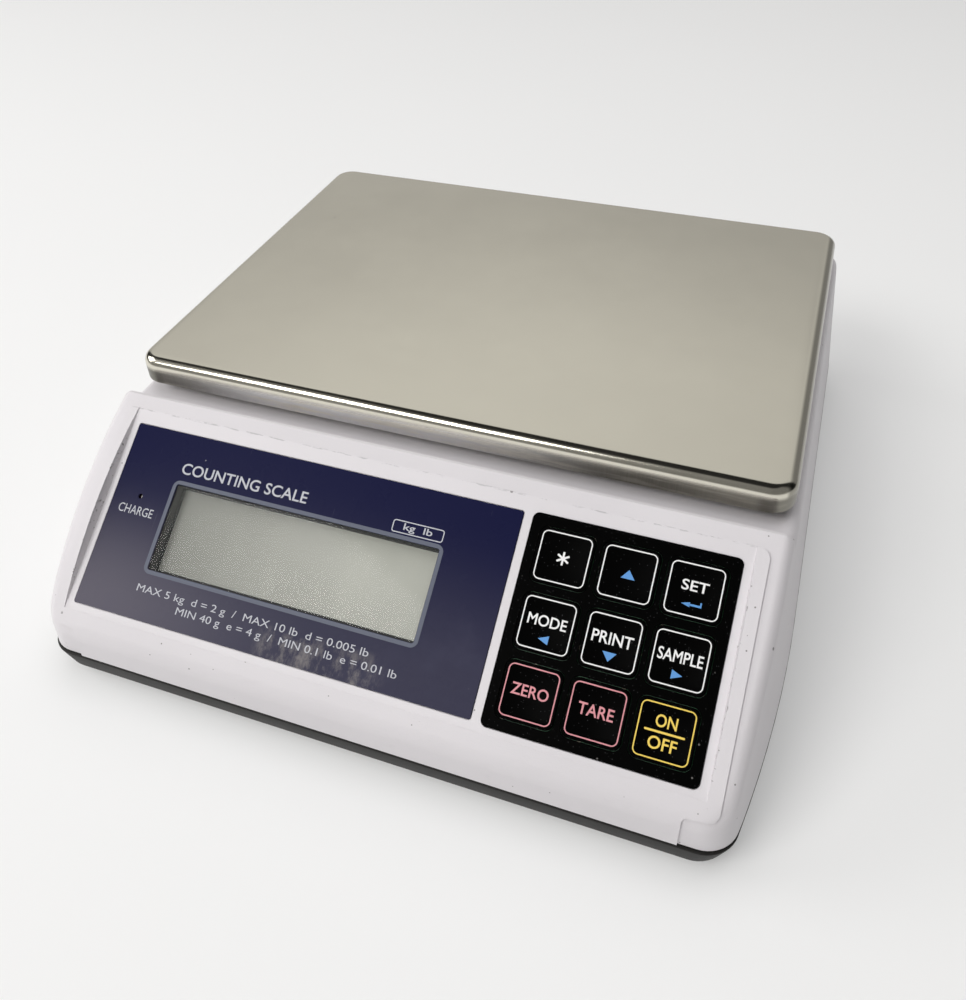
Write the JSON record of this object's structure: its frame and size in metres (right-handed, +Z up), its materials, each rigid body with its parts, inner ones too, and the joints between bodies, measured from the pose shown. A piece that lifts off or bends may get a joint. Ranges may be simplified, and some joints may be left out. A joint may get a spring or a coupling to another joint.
{
  "type": "counting scale",
  "caption": "Bench counting scale with a stainless tray platter on a sprung frame, sloped front panel with display and press keys, and levelling screw feet.",
  "frame": {"origin": "on the table, at the middle of the footprint's bounding box", "axes": "+X to the right as the user faces the front panel, +Y to the back, +Z up"},
  "size_m": [0.33, 0.346, 0.107],
  "materials": {
    "housing_white": "fine-textured lilac-white ABS",
    "housing_charcoal": "textured charcoal ABS",
    "label_navy": "printed polyester label, semi-gloss",
    "window_clear": "clear window",
    "display_frame": "dark frame",
    "display_grey": "unlit grey-green liquid crystal",
    "circuit_board": "green solder mask",
    "indicator_lens": "dark indicator lens",
    "keypad_black": "black overlay with a fine glitter grain",
    "platter_steel": "satin stainless",
    "cast_alloy": "die-cast",
    "seat_rubber": "moulded rubber",
    "zinc_steel": "zinc-plated steel",
    "black_plastic": "black plastic",
    "cable_jacket": "cable jacket",
    "level_vial": "clear vial with yellow-green fluid",
    "pad_rubber": "non-slip rubber"
  },
  "bodies": {
    "scale_body": {"top_housing": "housing_white", "base_housing": "housing_charcoal", "battery_cover": "housing_charcoal", "display_label": "label_navy", "lcd_window": "window_clear", "lcd_backlight": "window_clear", "lcd_frame": "display_frame", "lcd_panel": "display_grey", "display_board": "circuit_board", "keypad_circuit": "circuit_board", "main_board": "circuit_board", "charge_lamp": "indicator_lens", "keypad_overlay": "keypad_black", "load_cell": "cast_alloy", "load_cell_riser": "cast_alloy", "base_plate": "zinc_steel", "overload_stop": "zinc_steel", "serial_port": "zinc_steel", "cell_bolt_1": "zinc_steel", "cell_bolt_2": "zinc_steel", "housing_screw_1": "zinc_steel", "housing_screw_2": "zinc_steel", "housing_screw_3": "zinc_steel", "housing_screw_4": "zinc_steel", "buzzer": "black_plastic", "battery": "black_plastic", "power_jack": "black_plastic", "load_cell_cable": "cable_jacket", "bubble_level": "level_vial"},
    "platform": {"platter_frame": "cast_alloy", "cell_bolt_3": "zinc_steel", "cell_bolt_4": "zinc_steel", "platter_seat_front_left": "seat_rubber", "platter_seat_front_right": "seat_rubber", "platter_seat_rear_left": "seat_rubber", "platter_seat_rear_right": "seat_rubber"},
    "tray": {"platter": "platter_steel"},
    "star_key": {"key_star": "keypad_black"},
    "up_key": {"key_up": "keypad_black"},
    "set_key": {"key_set": "keypad_black"},
    "mode_key": {"key_mode": "keypad_black"},
    "print_key": {"key_print": "keypad_black"},
    "sample_key": {"key_sample": "keypad_black"},
    "zero_key": {"key_zero": "keypad_black"},
    "tare_key": {"key_tare": "keypad_black"},
    "power_key": {"key_power": "keypad_black"},
    "foot_front_left_travel": {"foot_pad_front_left": "pad_rubber"},
    "foot_front_left_turn": {"foot_screw_front_left": "zinc_steel", "foot_wheel_front_left": "black_plastic"},
    "foot_front_right_travel": {"foot_pad_front_right": "pad_rubber"},
    "foot_front_right_turn": {"foot_screw_front_right": "zinc_steel", "foot_wheel_front_right": "black_plastic"},
    "foot_rear_left_travel": {"foot_pad_rear_left": "pad_rubber"},
    "foot_rear_left_turn": {"foot_screw_rear_left": "zinc_steel", "foot_wheel_rear_left": "black_plastic"},
    "foot_rear_right_travel": {"foot_pad_rear_right": "pad_rubber"},
    "foot_rear_right_turn": {"foot_screw_rear_right": "zinc_steel", "foot_wheel_rear_right": "black_plastic"}
  },
  "joints": [
    {"name": "load_cell_flex", "type": "slide", "parent": "scale_body", "child": "platform", "axis": [0, 0, 1], "range_m": [-0.0004, 0], "stiffness_N_per_m": 75000, "springref_m": 0.00012},
    {"name": "tray_lift", "type": "slide", "parent": "platform", "child": "tray", "axis": [0, 0, 1], "range_m": [0, 0.06]},
    {"name": "star_press", "type": "slide", "parent": "scale_body", "child": "star_key", "axis": [0, 0.5678, -0.8231], "range_m": [0, 0.0006], "stiffness_N_per_m": 3500},
    {"name": "up_press", "type": "slide", "parent": "scale_body", "child": "up_key", "axis": [0, 0.5678, -0.8231], "range_m": [0, 0.0006], "stiffness_N_per_m": 3500},
    {"name": "set_press", "type": "slide", "parent": "scale_body", "child": "set_key", "axis": [0, 0.5678, -0.8231], "range_m": [0, 0.0006], "stiffness_N_per_m": 3500},
    {"name": "mode_press", "type": "slide", "parent": "scale_body", "child": "mode_key", "axis": [0, 0.5678, -0.8231], "range_m": [0, 0.0006], "stiffness_N_per_m": 3500},
    {"name": "print_press", "type": "slide", "parent": "scale_body", "child": "print_key", "axis": [0, 0.5678, -0.8231], "range_m": [0, 0.0006], "stiffness_N_per_m": 3500},
    {"name": "sample_press", "type": "slide", "parent": "scale_body", "child": "sample_key", "axis": [0, 0.5678, -0.8231], "range_m": [0, 0.0006], "stiffness_N_per_m": 3500},
    {"name": "zero_press", "type": "slide", "parent": "scale_body", "child": "zero_key", "axis": [0, 0.5678, -0.8231], "range_m": [0, 0.0006], "stiffness_N_per_m": 3500},
    {"name": "tare_press", "type": "slide", "parent": "scale_body", "child": "tare_key", "axis": [0, 0.5678, -0.8231], "range_m": [0, 0.0006], "stiffness_N_per_m": 3500},
    {"name": "power_press", "type": "slide", "parent": "scale_body", "child": "power_key", "axis": [0, 0.5678, -0.8231], "range_m": [0, 0.0006], "stiffness_N_per_m": 3500},
    {"name": "foot_front_left_slide", "type": "slide", "parent": "scale_body", "child": "foot_front_left_travel", "axis": [0, 0, 1], "range_m": [-0.006, 0]},
    {"name": "foot_front_left_screw", "type": "hinge", "parent": "foot_front_left_travel", "child": "foot_front_left_turn", "pos_m": [-0.128, -0.135, 0], "axis": [0, 0, 1], "range_deg": [-1720, 0]},
    {"name": "foot_front_right_slide", "type": "slide", "parent": "scale_body", "child": "foot_front_right_travel", "axis": [0, 0, 1], "range_m": [-0.006, 0]},
    {"name": "foot_front_right_screw", "type": "hinge", "parent": "foot_front_right_travel", "child": "foot_front_right_turn", "pos_m": [0.128, -0.135, 0], "axis": [0, 0, 1], "range_deg": [-1720, 0]},
    {"name": "foot_rear_left_slide", "type": "slide", "parent": "scale_body", "child": "foot_rear_left_travel", "axis": [0, 0, 1], "range_m": [-0.006, 0]},
    {"name": "foot_rear_left_screw", "type": "hinge", "parent": "foot_rear_left_travel", "child": "foot_rear_left_turn", "pos_m": [-0.128, 0.142, 0], "axis": [0, 0, 1], "range_deg": [-1720, 0]},
    {"name": "foot_rear_right_slide", "type": "slide", "parent": "scale_body", "child": "foot_rear_right_travel", "axis": [0, 0, 1], "range_m": [-0.006, 0]},
    {"name": "foot_rear_right_screw", "type": "hinge", "parent": "foot_rear_right_travel", "child": "foot_rear_right_turn", "pos_m": [0.128, 0.142, 0], "axis": [0, 0, 1], "range_deg": [-1720, 0]}
  ],
  "couplings": [
    {"joint": "foot_front_left_slide", "follows": "foot_front_left_screw", "m_per_rad": 0.00019894},
    {"joint": "foot_front_right_slide", "follows": "foot_front_right_screw", "m_per_rad": 0.00019894},
    {"joint": "foot_rear_left_slide", "follows": "foot_rear_left_screw", "m_per_rad": 0.00019894},
    {"joint": "foot_rear_right_slide", "follows": "foot_rear_right_screw", "m_per_rad": 0.00019894}
  ]
}
